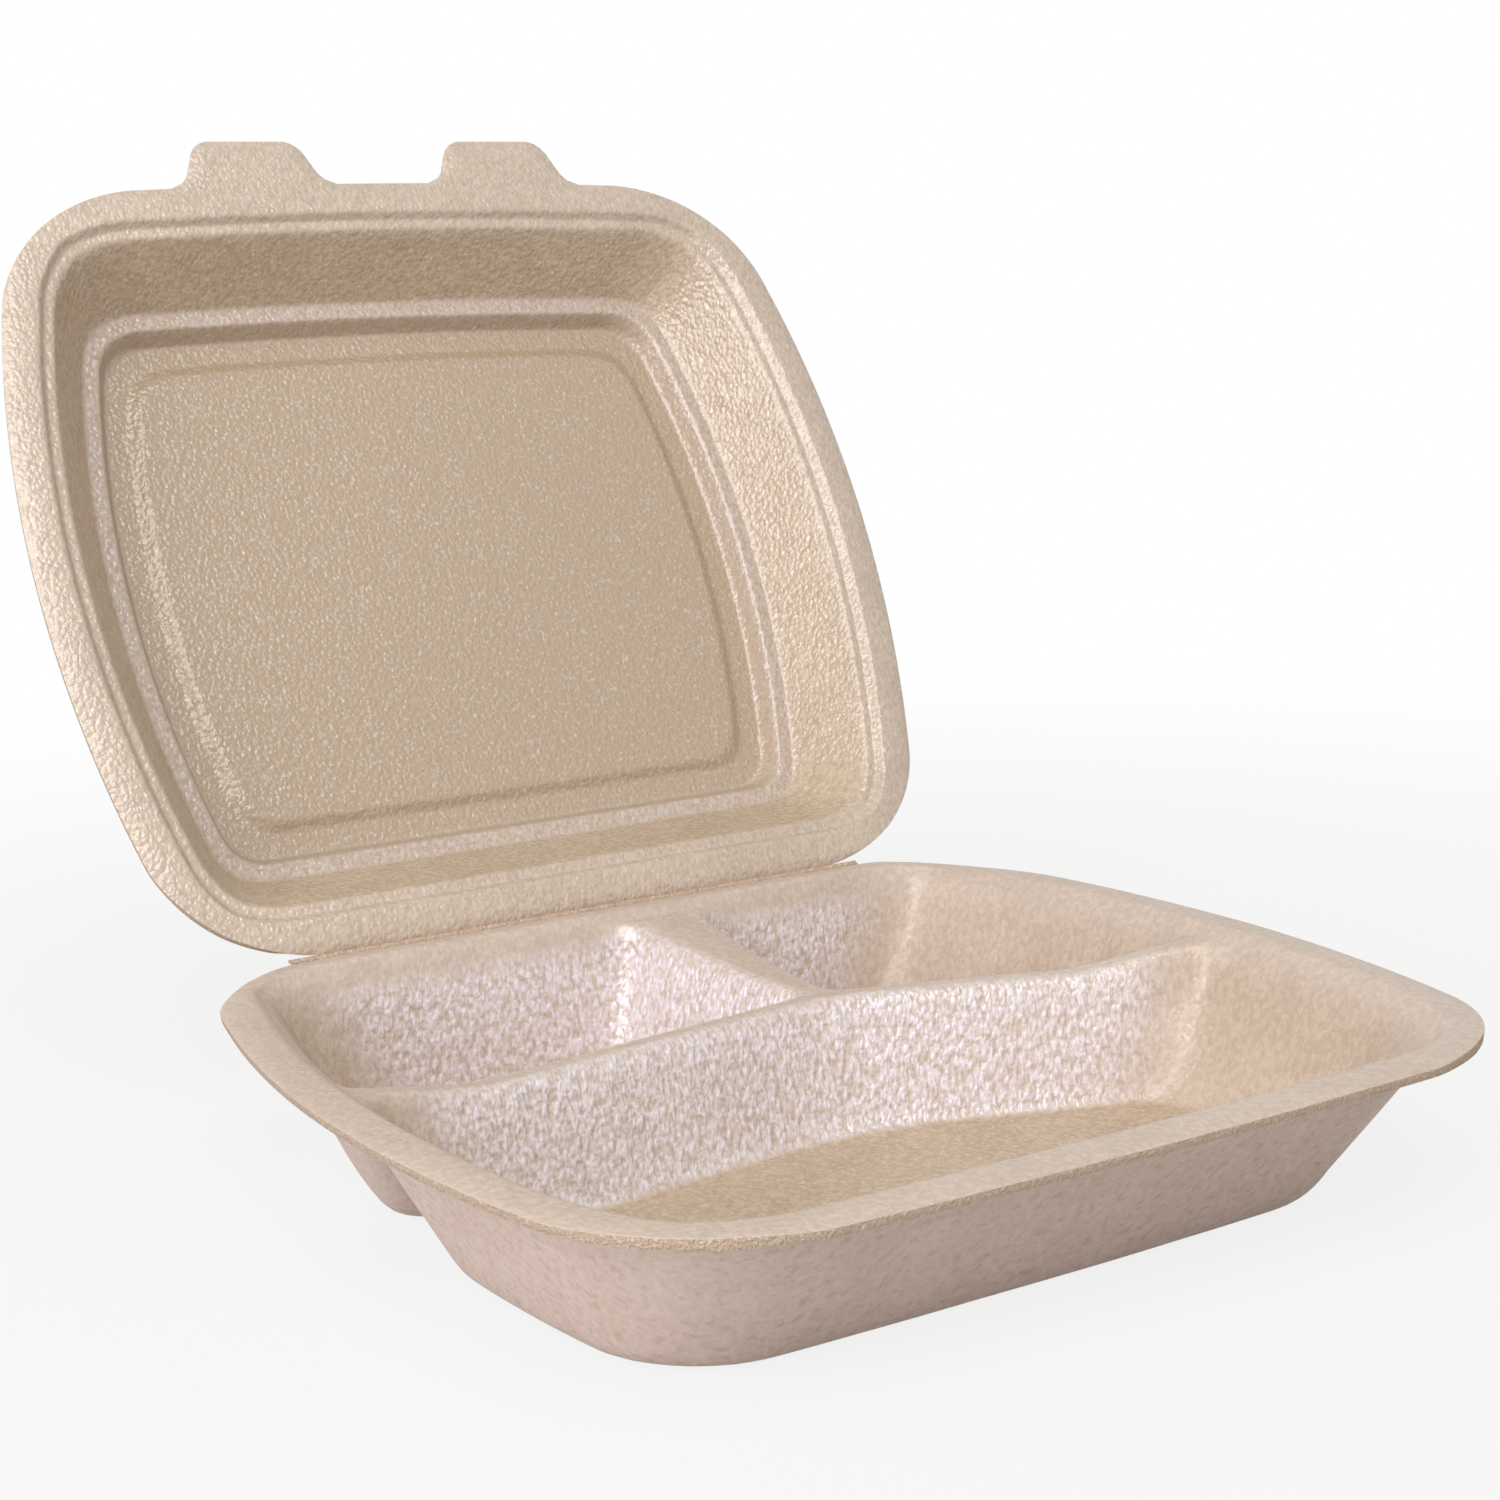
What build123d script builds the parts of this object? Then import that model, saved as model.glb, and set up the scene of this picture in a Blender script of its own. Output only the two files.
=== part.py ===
# Foam clamshell container: a hinged take-away box of one thermoformed foam sheet.
# The base is a tray with three compartments, and the lid is a stepped tray joined to
# it along a pressed crease. Millimetres, +Z up, origin under the middle of the base.
# The hinge runs along X at the rear (+Y) and the lid stands open.
from math import asin, cos, radians, sin, sqrt, tan
import os

from build123d import *

# Sheet
base_sheet = 2.8  # thickness of the foam as pressed in the base
lid_sheet = 2.4  # the same in the lid
wall_draft = 28  # usual lean of the walls, in degrees from upright

# Rim, the same for base and lid
rim_width_back = 203.5  # hinge edge, corner to corner before rounding
rim_width_front = 207.6  # front edge, corner to corner before rounding
rim_depth = 205.5  # hinge line to the front corners
side_bow = 17.7  # how far each side edge bulges outwards
front_bow = 3.1  # how far the front edge bulges outwards
back_corner = 28  # corner radius at the hinge
front_corner = 30  # corner radius at the front
flange = 9.5  # flat border inside the cut edge
hinge_flange = 7.5  # the same border along the hinge
rim_step = 2.2  # small step inside the border
rim_ledge = 3.0  # ledge between that step and the wall
step_back_corner = 15  # corner radius of the step at the hinge
step_front_corner = 19  # the same at the front

# Base
base_height = 40  # underside to the rim's upper face
ridge_drop = 8  # rim down to the top of the dividers
ridge_half_width = 4.5  # half the width of a divider just under its rounded top
ridge_round = 2.4  # rounding along the top of the dividers
ridge_foot = 12.5  # half the width of a divider at the floor
ridge_inset = 15.5  # wall inset at the height of the dividers
hinge_ridge_inset = 11.0  # the same along the hinge
floor_side_inset = 29.5  # inset of the floor from the side edges
floor_front_inset = 35.5  # inset of the floor from the front edge
floor_back_inset = 16.5  # inset of the floor from the hinge
junction_x = 18.5  # where the three dividers meet, from the middle
junction_depth = 74.5  # the same, measured from the hinge
left_arm_angle = 7.0  # divider to the left, turned towards the front
right_arm_angle = 18.5  # divider to the right, turned towards the front
rear_left_flare = 10.0  # how far the rear divider's left side turns away, widening to the hinge
rear_right_flare = 4.0  # the same on its right side
mouth_corner = 11  # corner radius of a compartment at the dividers
floor_corner = 9  # corner radius of a compartment at the floor
front_mouth_corner = 20  # the same at the tray's front corners
front_floor_corner = 17
floor_fillet = 4  # rounding between wall and floor, inside

# Lid
lid_open_angle = 119.2  # from closed
lid_wall_depth = 21.5  # rim down to the ledge around the panel
lid_wall_inset = 25.0  # inset of the wall's foot
lid_ledge = 4.5  # width of that ledge
lid_panel_depth = 27.0  # rim to the panel
lid_panel_inset = 32.5  # inset of the panel's edge
boss_inset = 38.0  # inset of the raised field on the panel
boss_slope = 5.0  # width of the field's soft edge
boss_rise = 1.8  # how far the field stands in towards the food
panel_back_corner = 8  # corner radius of the lid's panel at the hinge
panel_front_corner = 10  # the same at the front

# Closing tabs on the lid's front edge
tab_centre = 37  # from the middle of the lid
tab_root = 40  # width where the tab leaves the edge
tab_tip = 29  # width at its free end
tab_length = 13
tab_root_overlap = 6  # how far the tab runs back into the border
tab_fillet = 4

# Crease
crease_gap = 0.3  # space between base and lid along the crease

# Side edge as an arc: its chord, radius and centre
chord = sqrt(rim_depth**2 + ((rim_width_front - rim_width_back) / 2) ** 2)
side_radius = (chord**2 / 4 + side_bow**2) / (2 * side_bow)
chord_lean = asin((rim_width_front - rim_width_back) / 2 / chord)
centre_x = (rim_width_back + rim_width_front) / 4 - (side_radius - side_bow) * cos(chord_lean)
centre_y = -rim_depth / 2 - (side_radius - side_bow) * sin(chord_lean)

# Rim planes: origin on the crease, local Y running from the front to the hinge
hinge_y = (rim_depth + front_bow) / 2
base_plane = Plane(origin=(0, hinge_y, base_height), x_dir=(1, 0, 0), z_dir=(0, 0, 1))
opening = radians(lid_open_angle)
axis_height = base_height + crease_gap / 2
lid_up = Vector(0, sin(opening), cos(opening))
lid_plane = Plane(
    origin=Vector(0, hinge_y, axis_height) + lid_up * (crease_gap / 2), x_dir=(1, 0, 0), z_dir=lid_up
)


def wall_shift(sheet):
    """Sideways shift that keeps a leaning wall at the sheet's thickness."""
    return sheet * (1 - sin(radians(wall_draft))) / cos(radians(wall_draft))


def side_x(y, inset):
    """Half width of the rim at a local Y, with the side edge moved in."""
    return centre_x + sqrt((side_radius - inset) ** 2 - (y - centre_y) ** 2)


def draw_rim(back, side, front):
    """Draws the rim's closed outline with sharp corners, each edge moved in by its inset."""
    back_y = -back
    front_y = front - rim_depth
    middle_y = (back_y + front_y) / 2
    back_x = side_x(back_y, side)
    middle_x = side_x(middle_y, side)
    front_x = side_x(front_y, side)
    Line((-back_x, back_y), (back_x, back_y))
    ThreePointArc((back_x, back_y), (middle_x, middle_y), (front_x, front_y))
    ThreePointArc((front_x, front_y), (0, front_y - front_bow), (-front_x, front_y))
    ThreePointArc((-front_x, front_y), (-middle_x, middle_y), (-back_x, back_y))


def rim_shape(plane, back, side, front, back_radius, front_radius):
    """The rim's outline as a face, moved in and with rounded corners."""
    with BuildSketch(plane) as shape:
        with BuildLine():
            draw_rim(back, side, front)
        make_face()
        fillet(shape.vertices().group_by(Axis.Y)[-1], back_radius)
        fillet(shape.vertices().group_by(Axis.Y)[0], front_radius)
    return shape.sketch


def even_shape(plane, inset, back_radius, front_radius):
    """The rim's outline moved in by one inset all round."""
    return rim_shape(plane, inset, inset, inset, back_radius, front_radius)


# Dividers seen from above: three arms that meet at the junction and part the compartments
reach = rim_depth
junction = (junction_x, -junction_depth)
left_end = (junction_x - reach, -junction_depth - reach * tan(radians(left_arm_angle)))
right_end = (junction_x + reach, -junction_depth - reach * tan(radians(right_arm_angle)))
rear_left_end = (junction_x - reach * tan(radians(rear_left_flare)), reach - junction_depth)
rear_right_end = (junction_x + reach * tan(radians(rear_right_flare)), reach - junction_depth)
fields = [
    [junction, rear_left_end, (left_end[0], rear_left_end[1]), left_end],
    [junction, right_end, (right_end[0], rear_right_end[1]), rear_right_end],
    [junction, left_end, (left_end[0], -2 * reach), (right_end[0], -2 * reach), right_end],
]


def compartment_shape(plane, field, half_gap, insets, radius, front_radius):
    """Plan of one compartment: the rim moved in by insets, less the dividers beside it."""
    with BuildSketch(Plane.XY) as between:
        Polygon(*field, align=None)
        offset(amount=-half_gap, kind=Kind.INTERSECTION)
    with BuildSketch(plane) as shape:
        with BuildLine():
            draw_rim(*insets)
        make_face()
        fillet(shape.vertices().group_by(Axis.Y)[0], front_radius)
        front_corner_ends = shape.vertices().sort_by(Axis.Y)[:4]
        add(between.sketch, mode=Mode.INTERSECT)
        sharp = shape.vertices() - front_corner_ends
        fillet(sharp, radius)
    return shape.sketch


def compartment_pod(field, out, down):
    """A compartment's space as a solid. out and down move it to the sheet's outer face."""
    floor_depth = base_height - base_sheet
    bend = ridge_round * (1 - cos(radians(45)))
    levels = [
        (ridge_drop, ridge_half_width - ridge_round),
        (ridge_drop + bend, ridge_half_width - bend),
        (ridge_drop + ridge_round, ridge_half_width),
        (floor_depth, ridge_foot),
    ]
    sections = []
    for depth, half_width in levels:
        share = (depth - ridge_drop) / (floor_depth - ridge_drop)
        back = hinge_ridge_inset + (floor_back_inset - hinge_ridge_inset) * share
        side = ridge_inset + (floor_side_inset - ridge_inset) * share
        front = ridge_inset + (floor_front_inset - ridge_inset) * share
        radius = mouth_corner + (floor_corner - mouth_corner) * share
        front_radius = front_mouth_corner + (front_floor_corner - front_mouth_corner) * share
        sections.append(
            compartment_shape(
                base_plane.offset(-depth - down),
                field,
                half_width - out,
                (back - out, side - out, front - out),
                radius + out,
                front_radius + out,
            )
        )
    with BuildPart() as pod:
        loft(sections, ruled=True)
        fillet(pod.edges().group_by(Axis.Z)[0], floor_fillet + out)
    return pod.part


def base_form(out, down):
    """The base's hollow as a solid, or its outside when moved out and down by the sheet."""
    step_insets = (hinge_flange - out, flange - out, flange - out)
    wall_side = flange + rim_ledge - out
    wall_insets = (hinge_flange + rim_ledge / 2 - out, wall_side, wall_side)
    ridge_insets = (hinge_ridge_inset - out, ridge_inset - out, ridge_inset - out)
    step_corners = (step_back_corner + out, step_front_corner + out)
    ridge_corners = (mouth_corner + out, front_mouth_corner + out)
    with BuildPart() as form:
        extrude(rim_shape(base_plane.offset(-down), *step_insets, *step_corners), amount=-rim_step)
        loft(
            [
                rim_shape(base_plane.offset(-rim_step - down), *wall_insets, *step_corners),
                rim_shape(base_plane.offset(-ridge_drop - down), *ridge_insets, *ridge_corners),
            ],
            ruled=True,
        )
        for field in fields:
            add(compartment_pod(field, out, down))
    return form.part


def lid_form(out, up):
    """The lid's hollow as a solid, or its outside when moved out and up by the sheet."""
    step_corners = (step_back_corner + out, step_front_corner + out)
    panel_corners = (panel_back_corner + out, panel_front_corner + out)
    with BuildPart() as form:
        extrude(even_shape(lid_plane.offset(up), flange - out, *step_corners), amount=rim_step)
        loft(
            [
                even_shape(lid_plane.offset(rim_step + up), flange + rim_ledge - out, *step_corners),
                even_shape(lid_plane.offset(lid_wall_depth + up), lid_wall_inset - out, *panel_corners),
            ],
            ruled=True,
        )
        loft(
            [
                even_shape(
                    lid_plane.offset(lid_wall_depth + up), lid_wall_inset + lid_ledge - out, *panel_corners
                ),
                even_shape(lid_plane.offset(lid_panel_depth + up), lid_panel_inset - out, *panel_corners),
            ],
            ruled=True,
        )
    return form.part


def panel_field(up):
    """The shallow raised field on the lid's panel as a solid."""
    corners = (panel_back_corner, panel_front_corner)
    field_depth = lid_panel_depth - boss_rise
    with BuildPart() as field:
        loft(
            [
                even_shape(lid_plane.offset(lid_panel_depth + up), boss_inset, *corners),
                even_shape(lid_plane.offset(field_depth + up), boss_inset + boss_slope, *corners),
            ],
            ruled=True,
        )
    return field.part


def lid_blank():
    """The lid's flat outline: the rim with two closing tabs on its front edge."""
    root_y = tab_root_overlap - rim_depth
    tip_y = -rim_depth - front_bow - tab_length
    with BuildSketch(lid_plane) as blank:
        add(even_shape(Plane.XY, crease_gap / 2, back_corner, front_corner))
        for middle in (-tab_centre, tab_centre):
            Polygon(
                (middle - tab_root / 2, root_y),
                (middle - tab_tip / 2, tip_y),
                (middle + tab_tip / 2, tip_y),
                (middle + tab_root / 2, root_y),
                align=None,
            )
        fillet(blank.vertices().sort_by(Axis.Y)[4:8], tab_fillet)
        fillet(blank.vertices().sort_by(Axis.Y)[0:4], tab_fillet)
    return blank.sketch


# Base tray
with BuildPart() as base_tray:
    extrude(even_shape(base_plane, crease_gap / 2, back_corner, front_corner), amount=-base_sheet)
    add(base_form(wall_shift(base_sheet), base_sheet))
    add(base_form(0, 0), mode=Mode.SUBTRACT)
base_tray.part.label = "base_tray"

# Lid
with BuildPart() as lid:
    extrude(lid_blank(), amount=lid_sheet)
    add(lid_form(wall_shift(lid_sheet), lid_sheet))
    add(lid_form(0, 0), mode=Mode.SUBTRACT)
    add(panel_field(0))
    add(panel_field(lid_sheet), mode=Mode.SUBTRACT)
lid.part.label = "lid"

os.makedirs("parts", exist_ok=True)
export_step(base_tray.part, "parts/base_tray.step")
export_step(lid.part, "parts/lid.step")
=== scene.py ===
import math

import bmesh
import bpy
import numpy as np
from mathutils import Matrix, Vector


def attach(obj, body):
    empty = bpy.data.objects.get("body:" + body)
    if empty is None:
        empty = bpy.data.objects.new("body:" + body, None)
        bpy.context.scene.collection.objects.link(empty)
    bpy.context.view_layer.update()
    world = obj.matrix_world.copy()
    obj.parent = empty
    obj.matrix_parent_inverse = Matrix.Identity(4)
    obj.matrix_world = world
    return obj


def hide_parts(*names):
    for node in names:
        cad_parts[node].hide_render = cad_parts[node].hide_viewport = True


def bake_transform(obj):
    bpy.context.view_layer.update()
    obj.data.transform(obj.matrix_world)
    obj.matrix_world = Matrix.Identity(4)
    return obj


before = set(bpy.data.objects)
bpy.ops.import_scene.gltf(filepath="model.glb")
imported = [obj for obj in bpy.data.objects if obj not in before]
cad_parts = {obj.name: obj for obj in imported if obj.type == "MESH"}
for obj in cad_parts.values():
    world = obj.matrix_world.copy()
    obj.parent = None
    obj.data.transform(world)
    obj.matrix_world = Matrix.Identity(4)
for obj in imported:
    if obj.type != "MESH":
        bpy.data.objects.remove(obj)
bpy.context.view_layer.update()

# Base tray
# The lower half of the box, one foam sheet drawn down into three compartments inside a flat, bowed
# border. The sheet is laid out flat, line by line along its edges and dividers, and then pressed.
mm = 0.001
rim_width_back = 203.5
rim_width_front = 207.6
rim_depth = 205.5
side_bow = 17.7
front_bow = 3.1
back_corner = 28.0
front_corner = 30.0
crease_gap = 0.3
base_height = 40.0
base_sheet = 2.8
flange = 9.5
hinge_flange = 7.5
rim_ledge = 3.0
ridge_inset = 15.5
hinge_ridge_inset = 11.0
floor_side_inset = 29.5
floor_front_inset = 35.5
floor_back_inset = 16.5
past_floor = 100.0
back_rounding = (18, 12)
front_rounding = (24, 20)
rounding_levels = (10, 30)
droop_reach = 34.0
droop_from_crease = 12.0
hinge_y = (rim_depth + front_bow) / 2

# Side edge as an arc: its chord, radius and centre
chord = math.hypot(rim_depth, (rim_width_front - rim_width_back) / 2)
side_radius = (chord**2 / 4 + side_bow**2) / (2 * side_bow)
chord_lean = math.asin((rim_width_front - rim_width_back) / 2 / chord)
centre_x = (rim_width_back + rim_width_front) / 4 - (side_radius - side_bow) * math.cos(chord_lean)
centre_y = -rim_depth / 2 - (side_radius - side_bow) * math.sin(chord_lean)


def right_edge(y, inset):
    """The rim's right side edge at y, moved in."""
    return centre_x + np.sqrt((side_radius - inset) ** 2 - (y - centre_y) ** 2)


def front_edge(x):
    """The rim's front edge at x."""
    return -rim_depth - front_bow * (1 - (2 * x / rim_width_front) ** 2)


def positions(*stretches):
    """Distances from an edge, in stretches of (end, spacing)."""
    found = [0.0]
    for end, spacing in stretches:
        start = found[-1]
        count = max(1, round((end - start) / spacing))
        found += [start + (end - start) * (i + 1) / count for i in range(count)]
    return found


def between(first, last, count):
    """Lines spread evenly between two lines, each a function of the other coordinate."""
    shares = [(i + 1) / (count + 1) for i in range(count)]
    return [lambda t, share=share: (1 - share) * first(t) + share * last(t) for share in shares]


def side_lines(distances, sign):
    """Lines that follow a side edge at the given distances."""
    return [lambda y, inset=inset: sign * right_edge(y, inset) for inset in distances]


def back_lines(distances):
    """Lines that follow the crease at the given distances."""
    return [lambda x, inset=inset: x * 0 - crease_gap / 2 - inset for inset in distances]


def front_lines(distances):
    """Lines that follow the front edge at the given distances."""
    return [lambda x, inset=inset: front_edge(x) + inset for inset in distances]


def edge_insets(x, y):
    """Distances in from the side, back and front edges."""
    right = side_radius - np.hypot(x - centre_x, y - centre_y)
    left = side_radius - np.hypot(x + centre_x, y - centre_y)
    return np.minimum(left, right), -y, y - front_edge(x)


def round_corners(x, y):
    """Draws the grid's four square corners in to the rim's rounded corners."""
    side, back, front = edge_insets(x, y)
    for along, radius, is_back in ((back, back_corner, True), (front, front_corner, False)):
        near = (side < radius) & (along < radius)
        a = np.clip(radius - side, 0, None)
        b = np.clip(radius - along, 0, None)
        new_side = radius - a * np.sqrt(1 - b**2 / (2 * radius**2))
        new_along = radius - b * np.sqrt(1 - a**2 / (2 * radius**2))
        new_x, new_y = x, y
        for _ in range(3):
            new_y = -new_along if is_back else front_edge(new_x) + new_along
            new_x = np.sign(x) * right_edge(new_y, new_side)
        x = np.where(near, new_x, x)
        y = np.where(near, new_y, y)
    return x, y


def lay_out(columns, rows):
    """Grid of the flat sheet: where each column line crosses each row line."""
    x = np.zeros((len(rows), len(columns)))
    for _ in range(5):
        y = np.array([row(x[j]) for j, row in enumerate(rows)])
        x = np.array([column(y[:, i]) for i, column in enumerate(columns)]).T
    return round_corners(x, y)


def soft_min(a, b, reach):
    """Smaller of two distances, rounded over reach where they are alike."""
    near = np.clip(reach - np.abs(a - b), 0, None) / reach
    return np.minimum(a, b) - near**2 * reach / 4


def level_reach(level, at_rim, at_floor):
    """Corner rounding, going from its value near the rim to its value near the floor."""
    return np.interp(level, rounding_levels, [at_rim, at_floor])


# Dividers: three arms that meet right of the middle
junction_x = 18.5
junction_depth = 74.5
left_arm = math.tan(math.radians(7.0))
right_arm = math.tan(math.radians(18.5))
rear_left_flare = math.tan(math.radians(10.0))
rear_right_flare = math.tan(math.radians(4.0))
ridge_half = 2.1
ridge_shoulder = 4.5
ridge_foot = 12.5
crest_level = 13.4
ridge_level = 14.8
shoulder_level = 17.0
crest_span = (3, 11)
climb_start = 12.0
climb_top = 16.0
climb_end = 46.0
rear_climb_end = 75.0
pod_rounding_levels = (14, 24)
pod_rounding = (3.0, 11.0)
out_of_reach = 400.0
crazed_margin = 2.0
crazed_spread = 18.0
crazed_levels = (13.5, 16.5, 29, 31)


def divider_line(x):
    """Middle of the dividers that run to the left and to the right."""
    slope = np.where(x < junction_x, left_arm, right_arm)
    return -junction_depth - slope * np.abs(x - junction_x)


def rear_arm_left(y):
    """Left side of the divider that runs to the crease."""
    return junction_x - ridge_half - rear_left_flare * np.clip(y + junction_depth, 0, None)


def rear_arm_right(y):
    """Right side of the divider that runs to the crease."""
    return junction_x + ridge_half + rear_right_flare * np.clip(y + junction_depth, 0, None)


side_steps = positions((7, 1.8), (17, 0.55), (31, 0.85), (38, 1.6))
arm_steps = positions((8, 0.6), (15, 0.85), (20, 1.6))
back_steps = positions((5, 1.0), (12, 0.5), (20, 0.6), (30, 1.6))
front_steps = positions((7, 1.8), (17, 0.6), (38, 0.9), (42, 1.6))

left_columns = side_lines(side_steps, -1)
right_columns = side_lines(side_steps[::-1], 1)
arm_left_columns = [lambda y, b=b: rear_arm_left(y) - b for b in arm_steps[::-1]]
arm_right_columns = [lambda y, b=b: rear_arm_right(y) + b for b in arm_steps]
base_columns = (
    left_columns
    + between(left_columns[-1], arm_left_columns[0], count=26)
    + arm_left_columns
    + between(rear_arm_left, rear_arm_right, count=3)
    + arm_right_columns
    + between(arm_right_columns[-1], right_columns[0], count=14)
    + right_columns
)
rear_rows = back_lines(back_steps)
front_rows = front_lines(front_steps[::-1])
divider_rows = [lambda x, b=b: divider_line(x) + b for b in arm_steps[::-1]]
divider_rows += [lambda x, b=b: divider_line(x) - b for b in arm_steps[1:]]
base_rows = (
    rear_rows
    + between(rear_rows[-1], divider_rows[0], count=10)
    + divider_rows
    + between(divider_rows[-1], front_rows[0], count=22)
    + front_rows
)


def base_fields(x, y):
    """Distances that the press follows: in from the rim, at a divider's shoulder and in a compartment.

    The last two say how crazed the skin is there, and how near the point is to a rear corner of the rim.
    """
    side, back, front = edge_insets(x, y)
    under_floor = floor_side_inset + past_floor
    side_levels = [0, flange, flange + rim_ledge, ridge_inset, floor_side_inset, under_floor]
    back_levels = [0, hinge_flange, hinge_flange + rim_ledge / 2, hinge_ridge_inset]
    back_levels += [floor_back_inset, floor_back_inset + past_floor]
    front_levels = [0, ridge_inset, floor_front_inset, floor_front_inset + past_floor]
    back = np.interp(back, back_levels, side_levels)
    front = np.interp(front, front_levels, [0, ridge_inset, floor_side_inset, under_floor])
    inset = soft_min(side, back, level_reach(np.minimum(side, back), *back_rounding))
    inset = soft_min(inset, front, level_reach(np.minimum(inset, front), *front_rounding))
    rear_offset = y + junction_depth
    left_cos = math.cos(math.atan(left_arm))
    right_cos = math.cos(math.atan(right_arm))
    from_left_arm = (y + junction_depth - left_arm * (x - junction_x)) * left_cos
    from_right_arm = (y + junction_depth + right_arm * (x - junction_x)) * right_cos
    flare_cos = math.cos(math.atan(rear_left_flare))
    left_of_rear = (junction_x - rear_left_flare * rear_offset - x) * flare_cos
    right_of_rear = x - junction_x - rear_right_flare * rear_offset
    left_ridge = np.abs(from_left_arm) + out_of_reach * (x > junction_x)
    right_ridge = np.abs(from_right_arm) + out_of_reach * (x < junction_x)
    ridge = np.minimum(left_ridge, right_ridge)
    rear_ridge = np.maximum(np.maximum(left_of_rear, right_of_rear), 0)
    rear_ridge = rear_ridge + out_of_reach * (y < -junction_depth)
    climb = np.interp(inset, [climb_start, climb_end], [climb_start, climb_top])
    rear_climb = np.interp(inset, [climb_start, rear_climb_end], [climb_start, climb_top])
    shoulder = inset + (climb - inset) * np.interp(ridge, crest_span, [1, 0])
    rear_shoulder = inset + (rear_climb - inset) * np.interp(rear_ridge, crest_span, [1, 0])
    shoulder = np.minimum(shoulder, rear_shoulder)
    wall_spots = [0, ridge_half, ridge_shoulder, ridge_foot, ridge_foot + past_floor]
    wall_levels = [crest_level, ridge_level, shoulder_level, floor_side_inset, under_floor]
    deepest = None
    for first, second in (
        (from_left_arm, left_of_rear),
        (from_right_arm, right_of_rear),
        (-from_left_arm, -from_right_arm),
    ):
        pod = inset
        for distance in (first, second):
            wall = np.interp(distance, wall_spots, wall_levels)
            lowest = np.minimum(pod, wall)
            pod = soft_min(pod, wall, np.interp(lowest, pod_rounding_levels, pod_rounding))
        deepest = pod if deepest is None else np.maximum(deepest, pod)
    by_divider = np.clip((side - deepest - crazed_margin) / crazed_spread, 0, 1)
    crazed = by_divider * np.interp(deepest, crazed_levels, [0, 1, 1, 0])
    corner_x = right_edge(-back_corner / 2, 0)
    corner = 1 - np.hypot(np.abs(x) - corner_x, y + droop_from_crease) / droop_reach
    return inset, shoulder, deepest, crazed, np.clip(corner, 0, 1)


def flat_sheet(name, points, faces, attributes):
    """A flat sheet as a mesh, with its distances kept on its points."""
    mesh = bpy.data.meshes.new(name)
    mesh.from_pydata([tuple(p) for p in points], [], faces)
    for key, values in attributes.items():
        layer = mesh.attributes.new(key, "FLOAT", "POINT")
        layer.data.foreach_set("value", np.asarray(values, dtype=np.float32))
    sheet = bpy.data.objects.new(name, mesh)
    bpy.context.scene.collection.objects.link(sheet)
    return sheet


def grid_faces(rows, columns, flip):
    """Quads of a grid, numbered row by row."""
    faces = []
    for j in range(rows - 1):
        for i in range(columns - 1):
            corner = j * columns + i
            quad = (corner, corner + columns, corner + columns + 1, corner + 1)
            faces.append(quad[::-1] if flip else quad)
    return faces


def math_node(tree, operation, *inputs):
    """A math node in a node tree, fed with sockets or numbers."""
    node = tree.nodes.new("ShaderNodeMath")
    node.operation = operation
    for socket, value in zip(node.inputs, inputs):
        if isinstance(value, (int, float)):
            socket.default_value = value
        else:
            tree.links.new(value, socket)
    return node.outputs[0]


# Press: how fast the relaxing grows for each metre, how soft the pinch is and how near points are joined
relax_growth = 150.0
pinch_softness = 0.3
weld_reach = 0.01


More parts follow.
